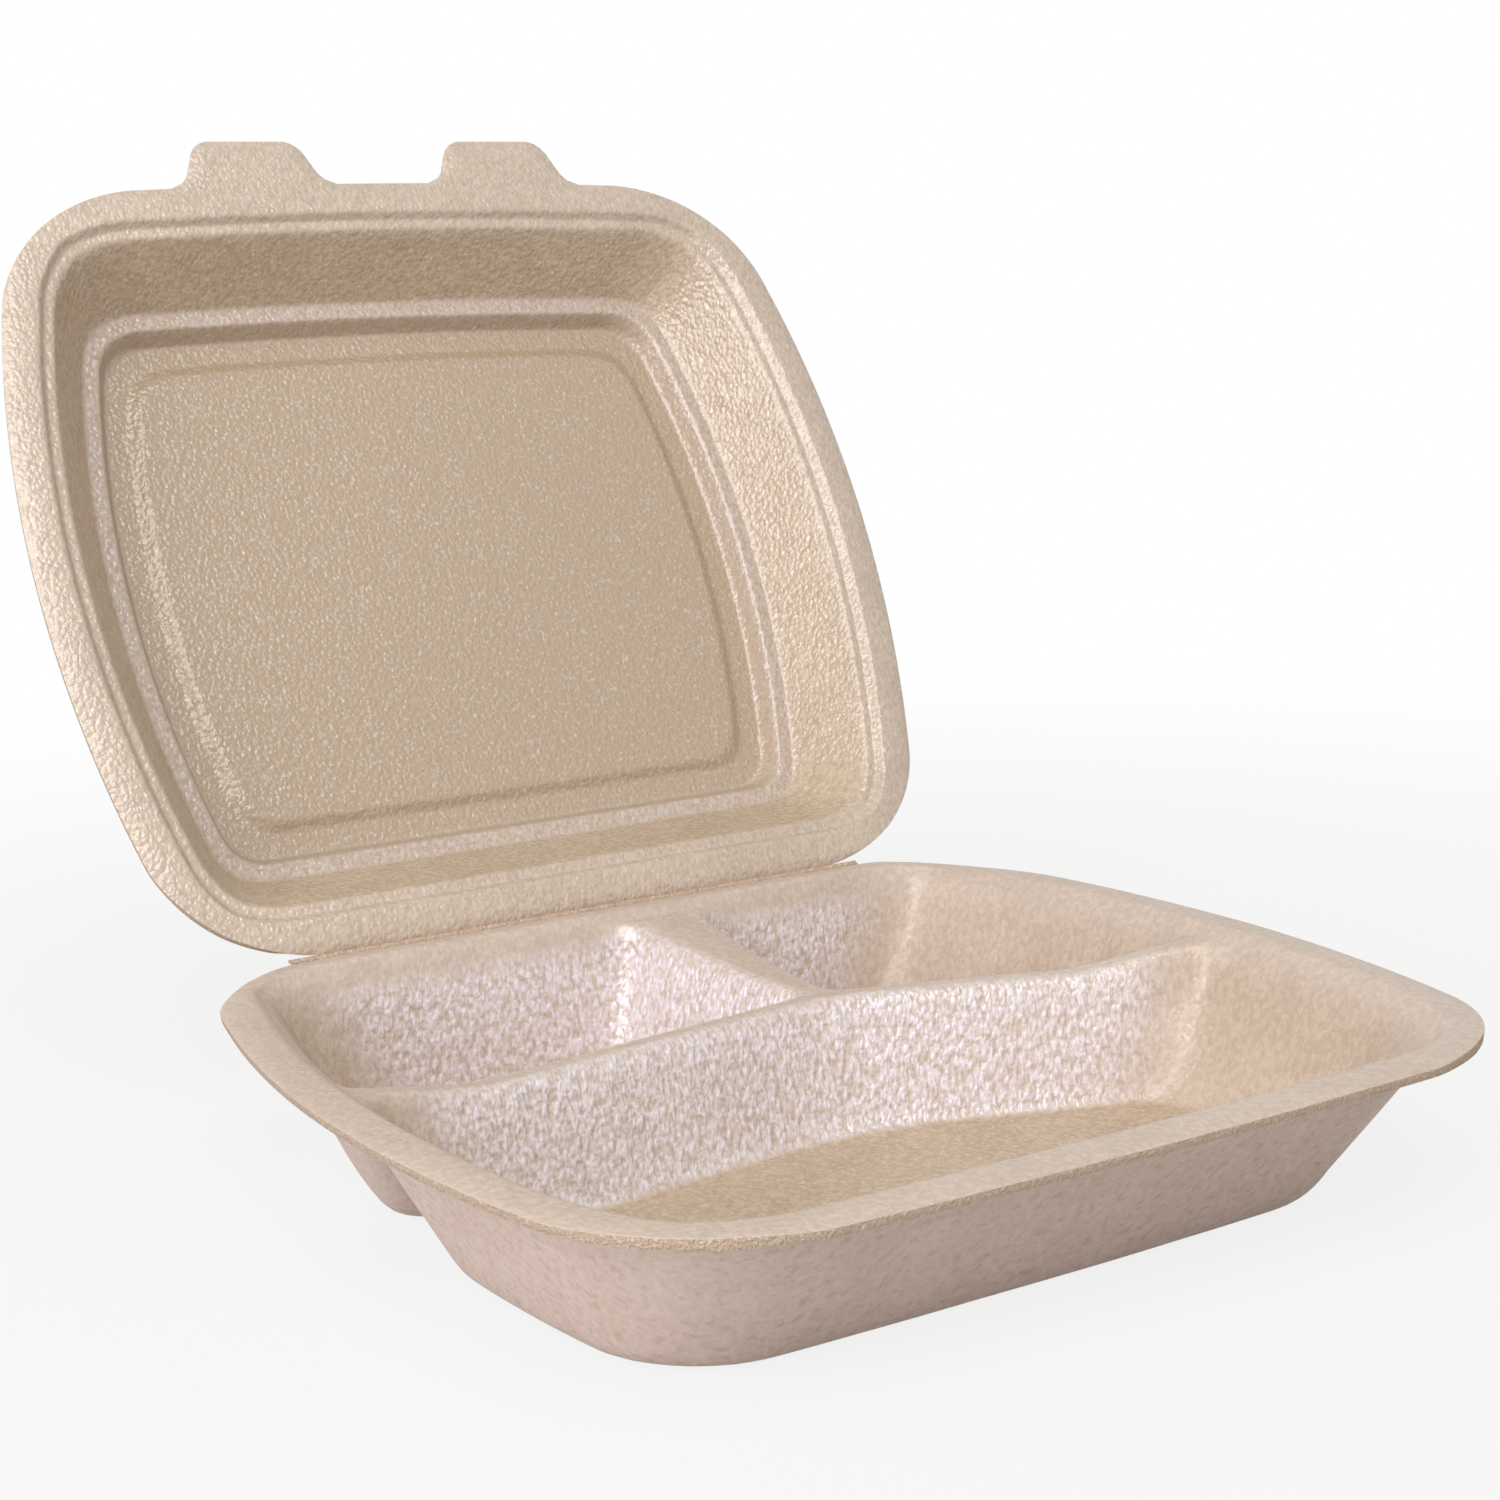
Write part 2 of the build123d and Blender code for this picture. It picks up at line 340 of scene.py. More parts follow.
def press_tree(name, stages):
    """Geometry nodes that press a flat sheet in stages and give it its thickness.

    Each stage is a name and the distance it follows. It sinks the sheet between its Start and its End.
    """
    tree = bpy.data.node_groups.new(name, "GeometryNodeTree")
    sockets = tree.interface
    sockets.new_socket("Geometry", in_out="INPUT", socket_type="NodeSocketGeometry")
    sockets.new_socket("Press Direction", in_out="INPUT", socket_type="NodeSocketVector")
    for label in ("Thickness", "Edge Pinch", "Pinch Width", "Unevenness", "Wave Length"):
        sockets.new_socket(label, in_out="INPUT", socket_type="NodeSocketFloat")
    sockets.new_socket("Relax Steps", in_out="INPUT", socket_type="NodeSocketInt")
    for stage, _ in stages:
        for part in ("Start", "End", "Depth", "Softness"):
            sockets.new_socket(f"{stage} {part}", in_out="INPUT", socket_type="NodeSocketFloat")
    for label in ("Inner Skin", "Outer Skin", "Cut Edge"):
        sockets.new_socket(label, in_out="INPUT", socket_type="NodeSocketMaterial")
    sockets.new_socket("Geometry", in_out="OUTPUT", socket_type="NodeSocketGeometry")
    nodes, links = tree.nodes, tree.links
    given = nodes.new("NodeGroupInput").outputs

    depth = None
    for stage, attribute in stages:
        read = nodes.new("GeometryNodeInputNamedAttribute")
        read.data_type = "FLOAT"
        read.inputs["Name"].default_value = attribute
        start, end = given[f"{stage} Start"], given[f"{stage} End"]
        past = math_node(tree, "SUBTRACT", read.outputs["Attribute"], start)
        share = math_node(tree, "DIVIDE", past, math_node(tree, "SUBTRACT", end, start))
        softness = given[f"{stage} Softness"]
        share = math_node(tree, "SMOOTH_MAX", share, 0.0, softness)
        share = math_node(tree, "SMOOTH_MIN", share, 1.0, softness)
        sunk = math_node(tree, "MULTIPLY", share, given[f"{stage} Depth"])
        depth = sunk if depth is None else math_node(tree, "ADD", depth, sunk)

    wave = nodes.new("ShaderNodeTexNoise")
    wave.noise_dimensions = "3D"
    wave.inputs["Detail"].default_value = 1.0
    links.new(math_node(tree, "DIVIDE", 1.0, given["Wave Length"]), wave.inputs["Scale"])
    centred_wave = math_node(tree, "SUBTRACT", wave.outputs[0], 0.5)
    uneven = math_node(tree, "MULTIPLY", centred_wave, given["Unevenness"])
    shift = nodes.new("ShaderNodeVectorMath")
    shift.operation = "SCALE"
    links.new(given["Press Direction"], shift.inputs[0])
    links.new(math_node(tree, "ADD", depth, uneven), shift.inputs["Scale"])
    pressed = nodes.new("GeometryNodeSetPosition")
    links.new(given["Geometry"], pressed.inputs["Geometry"])
    links.new(shift.outputs[0], pressed.inputs["Offset"])
    place = nodes.new("GeometryNodeInputPosition")
    edge_distance = nodes.new("GeometryNodeInputNamedAttribute")
    edge_distance.data_type = "FLOAT"
    edge_distance.inputs["Name"].default_value = "inset"
    # The relaxing grows with the distance from the cut edge, so that the edge stays where it is
    relaxed = nodes.new("GeometryNodeBlurAttribute")
    relaxed.data_type = "FLOAT_VECTOR"
    links.new(given["Relax Steps"], relaxed.inputs["Iterations"])
    links.new(place.outputs[0], relaxed.inputs["Value"])
    relax_weight = math_node(tree, "MULTIPLY", edge_distance.outputs["Attribute"], relax_growth)
    links.new(relax_weight, relaxed.inputs["Weight"])
    eased = nodes.new("GeometryNodeSetPosition")
    links.new(pressed.outputs[0], eased.inputs["Geometry"])
    links.new(relaxed.outputs[0], eased.inputs["Position"])
    inner = nodes.new("GeometryNodeSetMaterial")
    links.new(eased.outputs[0], inner.inputs["Geometry"])
    links.new(given["Inner Skin"], inner.inputs["Material"])

    thick = nodes.new("GeometryNodeExtrudeMesh")
    thick.inputs["Individual"].default_value = False
    links.new(inner.outputs[0], thick.inputs["Mesh"])
    pinched = math_node(tree, "DIVIDE", edge_distance.outputs["Attribute"], given["Pinch Width"])
    pinched = math_node(tree, "SMOOTH_MIN", pinched, 1.0, pinch_softness)
    most_lost = math_node(tree, "SUBTRACT", 1.0, given["Edge Pinch"])
    lost = math_node(tree, "MULTIPLY", most_lost, math_node(tree, "SUBTRACT", 1.0, pinched))
    kept = math_node(tree, "SUBTRACT", 1.0, lost)
    local_thickness = math_node(tree, "MULTIPLY", given["Thickness"], kept)
    links.new(math_node(tree, "MULTIPLY", local_thickness, -1.0), thick.inputs["Offset Scale"])
    outer = nodes.new("GeometryNodeSetMaterial")
    links.new(thick.outputs["Mesh"], outer.inputs["Geometry"])
    links.new(thick.outputs["Top"], outer.inputs["Selection"])
    links.new(given["Outer Skin"], outer.inputs["Material"])
    edge = nodes.new("GeometryNodeSetMaterial")
    links.new(outer.outputs[0], edge.inputs["Geometry"])
    links.new(thick.outputs["Side"], edge.inputs["Selection"])
    links.new(given["Cut Edge"], edge.inputs["Material"])
    turned = nodes.new("GeometryNodeFlipFaces")
    links.new(edge.outputs[0], turned.inputs[0])
    joined = nodes.new("GeometryNodeJoinGeometry")
    links.new(inner.outputs[0], joined.inputs[0])
    links.new(turned.outputs[0], joined.inputs[0])
    welded = nodes.new("GeometryNodeMergeByDistance")
    welded.inputs["Distance"].default_value = weld_reach * mm
    links.new(joined.outputs[0], welded.inputs["Geometry"])
    smooth = nodes.new("GeometryNodeSetShadeSmooth")
    links.new(welded.outputs[0], smooth.inputs["Geometry"])
    realized = nodes.new("GeometryNodeRealizeInstances")
    links.new(smooth.outputs[0], realized.inputs[0])
    result = nodes.new("NodeGroupOutput")
    links.new(realized.outputs[0], result.inputs[0])
    return tree


def press(sheet, tree, values):
    """Runs the press on a flat sheet and keeps the result as its mesh."""
    modifier = sheet.modifiers.new("press", "NODES")
    modifier.node_group = tree
    for item in tree.interface.items_tree:
        if item.in_out == "INPUT" and item.name in values:
            modifier[item.identifier] = values[item.name]
    evaluated = sheet.evaluated_get(bpy.context.evaluated_depsgraph_get())
    pressed = bpy.data.meshes.new_from_object(evaluated)
    sheet.modifiers.remove(modifier)
    sheet.data = pressed
    pressed.name = sheet.name


cut_round = 0.35


def round_cut_edge(sheet):
    """Takes the sharpness off both corners of the cut edge."""
    shape = bmesh.new()
    shape.from_mesh(sheet.data)
    corners = [
        e for e in shape.edges
        if len(e.link_faces) == 2 and len({f.material_index for f in e.link_faces}) == 2
    ]
    bmesh.ops.bevel(
        shape,
        geom=corners,
        offset=cut_round * mm,
        segments=2,
        profile=0.5,
        affect="EDGES",
        clamp_overlap=True,
    )
    for face in shape.faces:
        face.smooth = True
    shape.to_mesh(sheet.data)
    shape.free()


# Looks of the foam: a pearly skin inside, whose sheen is partly painted into its colour as a pale pinkish
# tint, a dull mottled skin outside and a rough cut edge
foam_light = (0.605, 0.480, 0.345, 1)
foam_dark = (0.450, 0.338, 0.226, 1)
# Pale pinkish tint that is mixed into the inner skin as painted sheen
painted_sheen = (0.860, 0.800, 0.860, 1)
outside_light = (0.800, 0.650, 0.575, 1)
outside_dark = (0.700, 0.545, 0.455, 1)
speck_brown = (0.400, 0.260, 0.180, 1)
edge_light = (0.740, 0.580, 0.450, 1)
edge_dark = (0.610, 0.460, 0.335, 1)
crazed_coat = 0.68


def shader_group(name, inputs, outputs):
    """An empty shader node group with named sockets."""
    tree = bpy.data.node_groups.new(name, "ShaderNodeTree")
    for label, kind in inputs:
        tree.interface.new_socket(label, in_out="INPUT", socket_type=kind)
    for label, kind in outputs:
        tree.interface.new_socket(label, in_out="OUTPUT", socket_type=kind)
    return tree, tree.nodes.new("NodeGroupInput").outputs, tree.nodes.new("NodeGroupOutput").inputs


def ramp(tree, value, low, high):
    """Goes smoothly from 0 at low to 1 at high."""
    node = tree.nodes.new("ShaderNodeMapRange")
    node.interpolation_type = "SMOOTHSTEP"
    tree.links.new(value, node.inputs["Value"])
    node.inputs["From Min"].default_value = low
    node.inputs["From Max"].default_value = high
    return node.outputs["Result"]


def noise(tree, vector, scale, detail, rough):
    """A noise texture's value."""
    node = tree.nodes.new("ShaderNodeTexNoise")
    node.noise_dimensions = "3D"
    tree.links.new(vector, node.inputs["Vector"])
    node.inputs["Scale"].default_value = scale
    node.inputs["Detail"].default_value = detail
    node.inputs["Roughness"].default_value = rough
    return node.outputs[0]


def cells(tree, vector, scale, metric):
    """A cell texture's distance from the middle of each cell, and its random colour."""
    node = tree.nodes.new("ShaderNodeTexVoronoi")
    node.voronoi_dimensions = "3D"
    node.feature = "F1"
    node.distance = metric
    tree.links.new(vector, node.inputs["Vector"])
    if isinstance(scale, (int, float)):
        node.inputs["Scale"].default_value = scale
    else:
        tree.links.new(scale, node.inputs["Scale"])
    return node.outputs["Distance"], node.outputs["Color"]


def mix_colour(tree, factor, first, second):
    """Mixes two colours, each a socket or a value."""
    node = tree.nodes.new("ShaderNodeMix")
    node.data_type = "RGBA"
    tree.links.new(factor, node.inputs["Factor"])
    for label, value in (("A", first), ("B", second)):
        socket = [s for s in node.inputs if s.name == label and s.type == "RGBA"][0]
        if isinstance(value, tuple):
            socket.default_value = value
        else:
            tree.links.new(value, socket)
    return [s for s in node.outputs if s.type == "RGBA"][0]


# Foam grain: blistered cells a millimetre or so wide, wrinkled between, with soft colour clouds
grain_inputs = (("Vector", "NodeSocketVector"), ("Cell Scale", "NodeSocketFloat"))
grain_labels = ("Height", "Cloud", "Fleck", "Glint", "Craze", "Flake")
grain_outputs = [(label, "NodeSocketFloat") for label in grain_labels]
foam_grain, grain_in, grain_out = shader_group("foam_grain", grain_inputs, grain_outputs)
warp = foam_grain.nodes.new("ShaderNodeTexNoise")
foam_grain.links.new(grain_in["Vector"], warp.inputs["Vector"])
warp.inputs["Scale"].default_value = 420.0
warp_scaled = foam_grain.nodes.new("ShaderNodeVectorMath")
warp_scaled.operation = "SCALE"
warp_scaled.inputs["Scale"].default_value = 0.0011
foam_grain.links.new(warp.outputs["Color"], warp_scaled.inputs[0])
warped = foam_grain.nodes.new("ShaderNodeVectorMath")
warped.operation = "ADD"
foam_grain.links.new(grain_in["Vector"], warped.inputs[0])
foam_grain.links.new(warp_scaled.outputs[0], warped.inputs[1])
blister, _ = cells(foam_grain, warped.outputs[0], grain_in["Cell Scale"], "EUCLIDEAN")
blister_top = math_node(foam_grain, "SUBTRACT", 1.0, blister)
fine = noise(foam_grain, grain_in["Vector"], scale=1500.0, detail=1.0, rough=0.6)
foam_grain.links.new(
    math_node(foam_grain, "ADD", blister_top, math_node(foam_grain, "MULTIPLY", fine, 0.5)),
    grain_out["Height"],
)
cloud = noise(foam_grain, grain_in["Vector"], scale=55.0, detail=2.0, rough=0.6)
foam_grain.links.new(ramp(foam_grain, cloud, 0.3, 0.7), grain_out["Cloud"])
fleck = noise(foam_grain, grain_in["Vector"], scale=600.0, detail=2.0, rough=0.6)
foam_grain.links.new(ramp(foam_grain, fleck, 0.35, 0.68), grain_out["Fleck"])
# Glint mask: spots that the inner skin paints as glints and makes less rough
glint_noise = noise(foam_grain, warped.outputs[0], scale=1000.0, detail=1.0, rough=0.5)
foam_grain.links.new(glint_noise, grain_out["Glint"])
# Crazed cells, each a random shade; the inner skin paints their pale flakes as sheen
craze, craze_random = cells(foam_grain, warped.outputs[0], 640.0, "CHEBYCHEV")
foam_grain.links.new(craze, grain_out["Craze"])
flake = math_node(foam_grain, "SUBTRACT", 1.0, ramp(foam_grain, craze, 0.3, 0.6))
flake_shade = math_node(foam_grain, "ADD", 0.5, math_node(foam_grain, "MULTIPLY", craze_random, 0.5))
foam_grain.links.new(math_node(foam_grain, "MULTIPLY", flake, flake_shade), grain_out["Flake"])


def foam_material(name, turn):
    """A new material with its shader, the grain group and a vector turned so that Z runs into the sheet."""
    material = bpy.data.materials.new(name)
    material.use_nodes = True
    tree = material.node_tree
    shader = tree.nodes["Principled BSDF"]
    place = tree.nodes.new("ShaderNodeTexCoord")
    mapping = tree.nodes.new("ShaderNodeMapping")
    tree.links.new(place.outputs["Object"], mapping.inputs["Vector"])
    mapping.inputs["Rotation"].default_value = (turn, 0, 0)
    grain = tree.nodes.new("ShaderNodeGroup")
    grain.node_tree = foam_grain
    tree.links.new(mapping.outputs[0], grain.inputs["Vector"])
    return material, tree, shader, mapping, grain


def bump(tree, height, strength, distance):
    """The normal of a surface with this height."""
    node = tree.nodes.new("ShaderNodeBump")
    node.inputs["Strength"].default_value = strength
    node.inputs["Distance"].default_value = distance
    tree.links.new(height, node.inputs["Height"])
    return node.outputs[0]


def inner_skin(name, turn, attribute, drawn, border_painted_sheen, wall_painted_sheen, flat_shade, flat_grain, flat_coat):
    """Inner skin: crazed where it is drawn, plain where it stays flat, with a painted pearly sheen mixed
    into its colour on the crazed flakes, the drawn walls and the border.

    attribute is the distance in from the rim, and the sheet is drawn between the two values of drawn.
    """
    drawn_from, drawn_to = drawn
    material, tree, shader, mapping, grain = foam_material(name, turn)
    mapping.inputs["Scale"].default_value = (1.0, 1.0, 0.8)
    grain.inputs["Cell Scale"].default_value = 800.0
    read = tree.nodes.new("ShaderNodeAttribute")
    read.attribute_name = attribute
    reach = read.outputs["Fac"]
    rising = ramp(tree, reach, drawn_from * mm, (drawn_from + 3) * mm)
    flat = ramp(tree, reach, (drawn_to - 1) * mm, (drawn_to + 1) * mm)
    stretched = math_node(tree, "MULTIPLY", rising, math_node(tree, "SUBTRACT", 1.0, flat))
    read_crazed = tree.nodes.new("ShaderNodeAttribute")
    read_crazed.attribute_name = "crazed"
    crazed = read_crazed.outputs["Fac"]
    drawn_out = tree.nodes.new("ShaderNodeMapping")
    drawn_out.inputs["Scale"].default_value = (1.0, 1.0, 0.5)
    tree.links.new(mapping.outputs[0], drawn_out.inputs["Vector"])
    wrinkle = noise(tree, drawn_out.outputs[0], scale=900.0, detail=1.0, rough=0.5)
    # Painted glints: pale strokes where the upright-stretched wrinkle noise is high, added to the crazed
    # cells' pale flakes
    painted_glint_strokes = math_node(tree, "MULTIPLY", ramp(tree, wrinkle, 0.42, 0.66), 0.45)
    crazed_sheen_flakes = math_node(tree, "ADD", painted_glint_strokes, math_node(tree, "MULTIPLY", grain.outputs["Flake"], 0.5))
    # Painted sheen: a pale pinkish tint mixed into the colour on the crazed flakes, on the drawn walls and
    # on the flat border, standing in for the pearly sheen
    painted_sheen_share = math_node(tree, "MULTIPLY", crazed, math_node(tree, "ADD", crazed_sheen_flakes, 0.12))
    painted_sheen_share = math_node(tree, "ADD", painted_sheen_share, math_node(tree, "MULTIPLY", stretched, wall_painted_sheen))
    border = math_node(tree, "MULTIPLY", math_node(tree, "SUBTRACT", 1.0, rising), border_painted_sheen)
    # Painted glints: small spots that get the pale sheen colour, and a lower roughness
    painted_glint_and_gloss = ramp(tree, grain.outputs["Glint"], 0.56, 0.74)
    # The flat border, not yet drawn, gets painted sheen as well
    painted_sheen_share = math_node(tree, "ADD", painted_sheen_share, border)
    painted_sheen_share = math_node(tree, "MAXIMUM", painted_sheen_share, math_node(tree, "MULTIPLY", painted_glint_and_gloss, 0.3))
    tone = math_node(tree, "MULTIPLY", grain.outputs["Cloud"], 0.3)
    tone = math_node(tree, "ADD", tone, math_node(tree, "MULTIPLY", grain.outputs["Fleck"], 0.7))
    shaded = math_node(tree, "SUBTRACT", 1.0, math_node(tree, "MULTIPLY", flat, flat_shade))
    tone = math_node(tree, "MULTIPLY", tone, shaded)
    colour = mix_colour(tree, tone, foam_dark, foam_light)
    colour = mix_colour(tree, painted_sheen_share, colour, painted_sheen)
    tree.links.new(colour, shader.inputs["Base Color"])
    tree.links.new(math_node(tree, "MULTIPLY", painted_sheen_share, 0.2), shader.inputs["Metallic"])
    rough = math_node(tree, "SUBTRACT", 0.6, math_node(tree, "MULTIPLY", painted_glint_and_gloss, 0.15))
    tree.links.new(rough, shader.inputs["Roughness"])
    coat = math_node(tree, "ADD", flat_coat, math_node(tree, "MULTIPLY", crazed, crazed_coat - flat_coat))
    tree.links.new(coat, shader.inputs["Coat Weight"])
    shader.inputs["Coat Roughness"].default_value = 0.18
    shader.inputs["Coat IOR"].default_value = 2.0
    plain = math_node(tree, "MULTIPLY", math_node(tree, "SUBTRACT", 1.0, crazed), flat_grain)
    height = math_node(tree, "MULTIPLY", grain.outputs["Height"], plain)
    swell = math_node(tree, "SUBTRACT", math_node(tree, "MULTIPLY", wrinkle, 2.2), grain.outputs["Craze"])
    height = math_node(tree, "ADD", height, math_node(tree, "MULTIPLY", swell, crazed))
    relief = bump(tree, height, strength=0.48, distance=0.0006)
    tree.links.new(relief, shader.inputs["Normal"])
    tree.links.new(relief, shader.inputs["Coat Normal"])
    return material


def outer_skin(name, turn):
    """Dull outer skin, mottled and with small brown specks."""
    material, tree, shader, mapping, grain = foam_material(name, turn)
    grain.inputs["Cell Scale"].default_value = 800.0
    tone = math_node(tree, "MULTIPLY", grain.outputs["Cloud"], 0.4)
    tone = math_node(tree, "ADD", tone, math_node(tree, "MULTIPLY", grain.outputs["Fleck"], 0.6))
    colour = mix_colour(tree, tone, outside_dark, outside_light)
    specks = noise(tree, mapping.outputs[0], scale=420.0, detail=2.0, rough=0.6)
    speck = math_node(tree, "MULTIPLY", ramp(tree, specks, 0.5, 0.75), 0.35)
    colour = mix_colour(tree, speck, colour, speck_brown)
    tree.links.new(colour, shader.inputs["Base Color"])
    rough = math_node(tree, "SUBTRACT", 0.72, math_node(tree, "MULTIPLY", grain.outputs["Fleck"], 0.12))
    tree.links.new(rough, shader.inputs["Roughness"])
    relief = bump(tree, grain.outputs["Height"], strength=0.15, distance=0.0002)
    tree.links.new(relief, shader.inputs["Normal"])
    return material


def cut_edge(name, turn):
    """Open cells where the sheet was cut: rough, pitted and browner."""
    material, tree, shader, mapping, grain = foam_material(name, turn)
    grain.inputs["Cell Scale"].default_value = 1100.0
    open_cells = noise(tree, mapping.outputs[0], scale=1300.0, detail=3.0, rough=0.7)
    pits = ramp(tree, open_cells, 0.35, 0.65)
    colour = mix_colour(tree, pits, edge_dark, edge_light)
    tree.links.new(colour, shader.inputs["Base Color"])
    rough = math_node(tree, "SUBTRACT", 0.95, math_node(tree, "MULTIPLY", pits, 0.2))
    tree.links.new(rough, shader.inputs["Roughness"])
    pitted = math_node(tree, "ADD", pits, grain.outputs["Height"])
    relief = bump(tree, pitted, strength=0.7, distance=0.0005)
    tree.links.new(relief, shader.inputs["Normal"])
    return material


base_x, base_y = lay_out(base_columns, base_rows)
base_inset, base_shoulder, base_pod, base_crazed, base_corner = base_fields(base_x, base_y)
base_points = np.stack(
    [base_x.ravel() * mm, (base_y.ravel() + hinge_y) * mm, np.full(base_x.size, base_height * mm)], axis=1
)
base_tray = flat_sheet(
    "base_sheet",
    base_points,
    grid_faces(*base_x.shape, flip=False),
    {
        "inset": base_inset.ravel() * mm,
        "shoulder": base_shoulder.ravel() * mm,
        "pod": base_pod.ravel() * mm,
        "hinge": -base_y.ravel() * mm,
        "corner": base_corner.ravel(),
        "crazed": base_crazed.ravel(),
    },
)
base_press = press_tree(
    "press_base",
    [
        ("Rolled Edge", "inset"),
        ("Border Step", "inset"),
        ("Upper Wall", "shoulder"),
        ("Compartment", "pod"),
        ("Corner Droop", "corner"),
        ("Crease", "hinge"),
    ],
)
base_inner = inner_skin(
    "base_inner_skin",
    turn=0.0,
    attribute="pod",
    drawn=(13.5, 30.0),
    border_painted_sheen=0.22,
    wall_painted_sheen=0.12,
    flat_shade=0.0,
    flat_grain=0.4,
    flat_coat=0.22,
)
base_outer = outer_skin("base_outer_skin", 0.0)
base_edge = cut_edge("base_cut_edge", 0.0)
# Both sheets have the same rolled and pinched edge, and the same pressed line at the crease
edge_values = {
    "Pinch Width": 4.0 * mm,
    "Rolled Edge Start": 3.2 * mm,
    "Rolled Edge End": -0.8 * mm,
    "Rolled Edge Depth": 1.0 * mm,
    "Rolled Edge Softness": 0.8,
    "Crease Start": 2.4 * mm,
    "Crease End": 0.0,
    "Crease Depth": 0.6 * mm,
    "Crease Softness": 0.3,
}
base_values = {
    **edge_values,
    "Press Direction": (0.0, 0.0, -1.0),
    "Thickness": base_sheet * mm,
    "Edge Pinch": 0.62,
    "Relax Steps": 2,
    "Unevenness": 0.5 * mm,
    "Wave Length": 45 * mm,
    "Border Step Start": 9.0 * mm,
    "Border Step End": 11.2 * mm,
    "Border Step Depth": 2.2 * mm,
    "Border Step Softness": 0.35,
    "Upper Wall Start": 12.2 * mm,
    "Upper Wall End": ridge_inset * mm,
    "Upper Wall Depth": 5.8 * mm,
    "Upper Wall Softness": 0.45,
    "Compartment Start": ridge_inset * mm,
    "Compartment End": floor_side_inset * mm,
    "Compartment Depth": 29.2 * mm,
    "Compartment Softness": 0.1,
    "Corner Droop Start": 0.2,
    "Corner Droop End": 1.0,
    "Corner Droop Depth": 1.6 * mm,
    "Corner Droop Softness": 0.5,
    "Inner Skin": base_inner,
    "Outer Skin": base_outer,
    "Cut Edge": base_edge,
}
press(base_tray, base_press, base_values)
round_cut_edge(base_tray)
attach(base_tray, "base")
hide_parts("base_tray")

# Lid
# The upper half of the box, pressed from the same sheet: a border, a sloping wall, a ledge and a panel
# with a slightly raised field. Two tabs on its front edge hook into the base when it is shut.
lid_open_angle = math.radians(119.2)
lid_sheet = 2.4
lid_up = Vector((0, math.sin(lid_open_angle), math.cos(lid_open_angle)))
lid_back = Vector((0, math.cos(lid_open_angle), -math.sin(lid_open_angle)))
lid_origin = Vector((0, hinge_y, base_height + crease_gap / 2)) + lid_up * (crease_gap / 2)

border_steps = ((7, 1.4), (9, 0.6), (11.4, 0.3), (14, 0.45))
wall_steps = ((23.5, 1.0), (26, 0.4), (29, 0.8))
panel_steps = ((32.5, 0.35), (37, 0.9), (43, 0.5), (46, 1.0))
lid_steps = positions(*border_steps, *wall_steps, *panel_steps)
lid_back_rounding = (17, 9)
lid_front_rounding = (21, 11)
lid_left = side_lines(lid_steps, -1)
lid_right = side_lines(lid_steps[::-1], 1)
lid_columns = lid_left + between(lid_left[-1], lid_right[0], count=58) + lid_right
lid_rear = back_lines(lid_steps)
lid_front = front_lines(lid_steps[::-1])
lid_rows = lid_rear + between(lid_rear[-1], lid_front[0], count=46) + lid_front
lid_x, lid_y = lay_out(lid_columns, lid_rows)
lid_side, lid_rear_inset, lid_front_inset = edge_insets(lid_x, lid_y)
lid_back_reach = level_reach(np.minimum(lid_side, lid_rear_inset), *lid_back_rounding)
lid_inset = soft_min(lid_side, lid_rear_inset, lid_back_reach)
lid_front_reach = level_reach(np.minimum(lid_inset, lid_front_inset), *lid_front_rounding)
lid_inset = soft_min(lid_inset, lid_front_inset, lid_front_reach)

# Closing tabs: rows of points past the front edge, narrowing to a rounded tip
tab_centre = 37.0
tab_root = 40.0
tab_tip = 29.0
tab_length = 13.0
tab_fillet = 4.0
tab_rows = 14
tab_edge_reach = 4.0
tip_y = -rim_depth - front_bow - tab_length


def tab_half_width(out):
    """Half the tab's width at a distance out from the edge, with its rounded corners."""
    half = tab_root / 2 + (tab_tip - tab_root) / 2 * out / tab_length
    at_root = max(0.0, tab_fillet - out)
    half += tab_fillet - math.sqrt(tab_fillet**2 - at_root**2)
    at_tip = max(0.0, out - (tab_length - tab_fillet))
    return half - tab_fillet + math.sqrt(max(0.0, tab_fillet**2 - at_tip**2))


lid_points = list(zip(lid_x.ravel(), lid_y.ravel()))
lid_insets = list(lid_inset.ravel())
lid_faces = grid_faces(*lid_x.shape, flip=True)
front_row = (lid_x.shape[0] - 1) * lid_x.shape[1]
root_half = tab_half_width(0.0)
for centre in (-tab_centre, tab_centre):
    root = [front_row + i for i in range(lid_x.shape[1]) if abs(lid_x[-1, i] - centre) <= root_half]
    width = (lid_points[root[-1]][0] - lid_points[root[0]][0]) / 2
    middle = (lid_points[root[-1]][0] + lid_points[root[0]][0]) / 2
    previous = root
    for index in root[1:-1]:
        lid_insets[index] = min(tab_edge_reach, width - abs(lid_points[index][0] - middle))
    for step in range(1, tab_rows + 1):
        out = tab_length * math.sin(math.pi / 2 * step / tab_rows)
        row = []
        for index in root:
            x, y = lid_points[index]
            row.append(len(lid_points))
            narrowed = middle + (x - middle) * tab_half_width(out) / width
            lid_points.append((narrowed, y + (tip_y - y) * out / tab_length))
            from_side = tab_half_width(out) - abs(narrowed - middle)
            lid_insets.append(max(0.0, min(from_side, tab_length - out, tab_edge_reach)))
        for a, b, c, d in zip(previous, previous[1:], row[1:], row):
            lid_faces.append((a, b, c, d))
        previous = row

